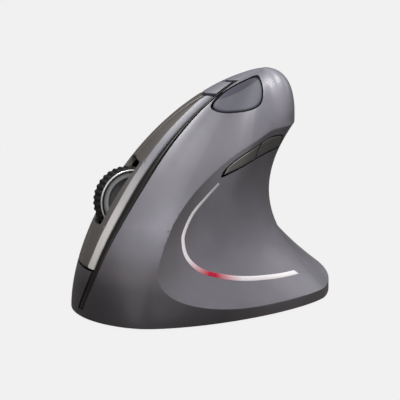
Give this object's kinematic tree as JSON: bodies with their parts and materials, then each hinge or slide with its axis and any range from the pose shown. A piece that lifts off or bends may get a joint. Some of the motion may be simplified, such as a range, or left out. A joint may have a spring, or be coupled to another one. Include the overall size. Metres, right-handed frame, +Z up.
{
  "type": "vertical ergonomic computer mouse",
  "caption": "Right-handed vertical mouse: grey shell with a deep thumb recess, finger plates on a hinge, a click wheel, thumb keys and a curved light guide.",
  "frame": {"origin": "centre of the bounding box on the table that the feet stand on", "axes": "+Z up, -Y towards the nose, +X towards the thumb side"},
  "size_m": [0.079, 0.113, 0.076],
  "materials": {
    "shell": "fine matt, grey",
    "strip": "gloss black",
    "plate": "satin grey",
    "key": "dark matt",
    "top_key": "dark grey, matt",
    "light": "milky, lit from behind",
    "led": "clear red",
    "tyre": "matt, ribbed",
    "bright": "polished",
    "steel": "plain",
    "inner": "moulded, plain",
    "switch": "moulded, black",
    "board": "green solder mask",
    "base": "fine matt, black",
    "foot": "slick black pad",
    "slider": "light grey",
    "lens": "clear",
    "cell": "wrapped cell"
  },
  "bodies": {
    "body": {"thumb_shell": "shell", "palm_shell": "shell", "ridge_strip": "strip", "button_pin": "steel", "light_strip": "light", "wheel_switch": "switch", "button_bracket": "inner", "button_board": "board", "left_switch": "switch", "right_switch": "switch", "side_arm": "inner", "side_board": "board", "forward_switch": "switch", "back_switch": "switch", "dpi_switch": "switch", "led_board": "board", "leds": "led", "base_plate": "base", "feet": "foot", "base_screws": "steel", "main_board": "board", "optical_sensor": "switch", "sensor_lens": "lens", "radio_chip": "switch", "battery_tray": "inner", "batteries": "cell", "battery_springs": "steel", "battery_bridge": "steel", "power_switch": "switch"},
    "left_plate": {"left_button": "plate"},
    "right_plate": {"right_button": "plate"},
    "carriage": {"wheel_carriage": "inner", "wheel_encoder": "switch"},
    "wheel": {"wheel_tyre": "tyre", "wheel_rims": "bright", "wheel_hub": "inner"},
    "forward_key": {"forward_button": "key"},
    "back_key": {"back_button": "key"},
    "top_key": {"dpi_button": "top_key"},
    "slider": {"power_slider": "slider"},
    "door": {"battery_door": "base"},
    "stick": {"receiver": "base"}
  },
  "joints": [
    {"name": "left_press", "type": "hinge", "parent": "body", "child": "left_plate", "pos_m": [-0.01149, -0.01552, 0.05389], "axis": [0.7178, -0.6827, 0.1366], "range_deg": [0, 0.55], "stiffness_Nm_per_rad": 2.4, "springref_deg": -0.23},
    {"name": "right_press", "type": "hinge", "parent": "body", "child": "right_plate", "pos_m": [-0.01149, -0.01552, 0.05389], "axis": [0.7178, -0.6827, 0.1366], "range_deg": [0, 0.55], "stiffness_Nm_per_rad": 2.4, "springref_deg": -0.23},
    {"name": "wheel_click", "type": "slide", "parent": "body", "child": "carriage", "axis": [0.6637, 0.4863, -0.5683], "range_m": [0, 0.0005], "stiffness_N_per_m": 1500, "springref_m": -0.0003},
    {"name": "wheel_spin", "type": "hinge", "parent": "carriage", "child": "wheel", "pos_m": [-0.01929, -0.02723, 0.03601], "axis": [0.6597, -0.7387, 0.1384], "continuous": true},
    {"name": "forward_press", "type": "slide", "parent": "body", "child": "forward_key", "axis": [-0.9606, 0.2761, 0.0335], "range_m": [0, 0.0005], "stiffness_N_per_m": 1500, "springref_m": -0.0002},
    {"name": "back_press", "type": "slide", "parent": "body", "child": "back_key", "axis": [-0.9606, 0.2761, 0.0335], "range_m": [0, 0.0005], "stiffness_N_per_m": 1500, "springref_m": -0.0002},
    {"name": "dpi_press", "type": "slide", "parent": "body", "child": "top_key", "axis": [-0.486, 0.5221, -0.7008], "range_m": [0, 0.0005], "stiffness_N_per_m": 1500, "springref_m": -0.0002},
    {"name": "power_slide", "type": "slide", "parent": "body", "child": "slider", "axis": [1, 0, 0], "range_m": [0, 0.004]},
    {"name": "door_release", "type": "slide", "parent": "body", "child": "door", "axis": [0, 0, -1], "range_m": [0, 0.02]},
    {"name": "receiver_pull", "type": "slide", "parent": "body", "child": "stick", "axis": [0, 0, -1], "range_m": [0, 0.02]}
  ]
}
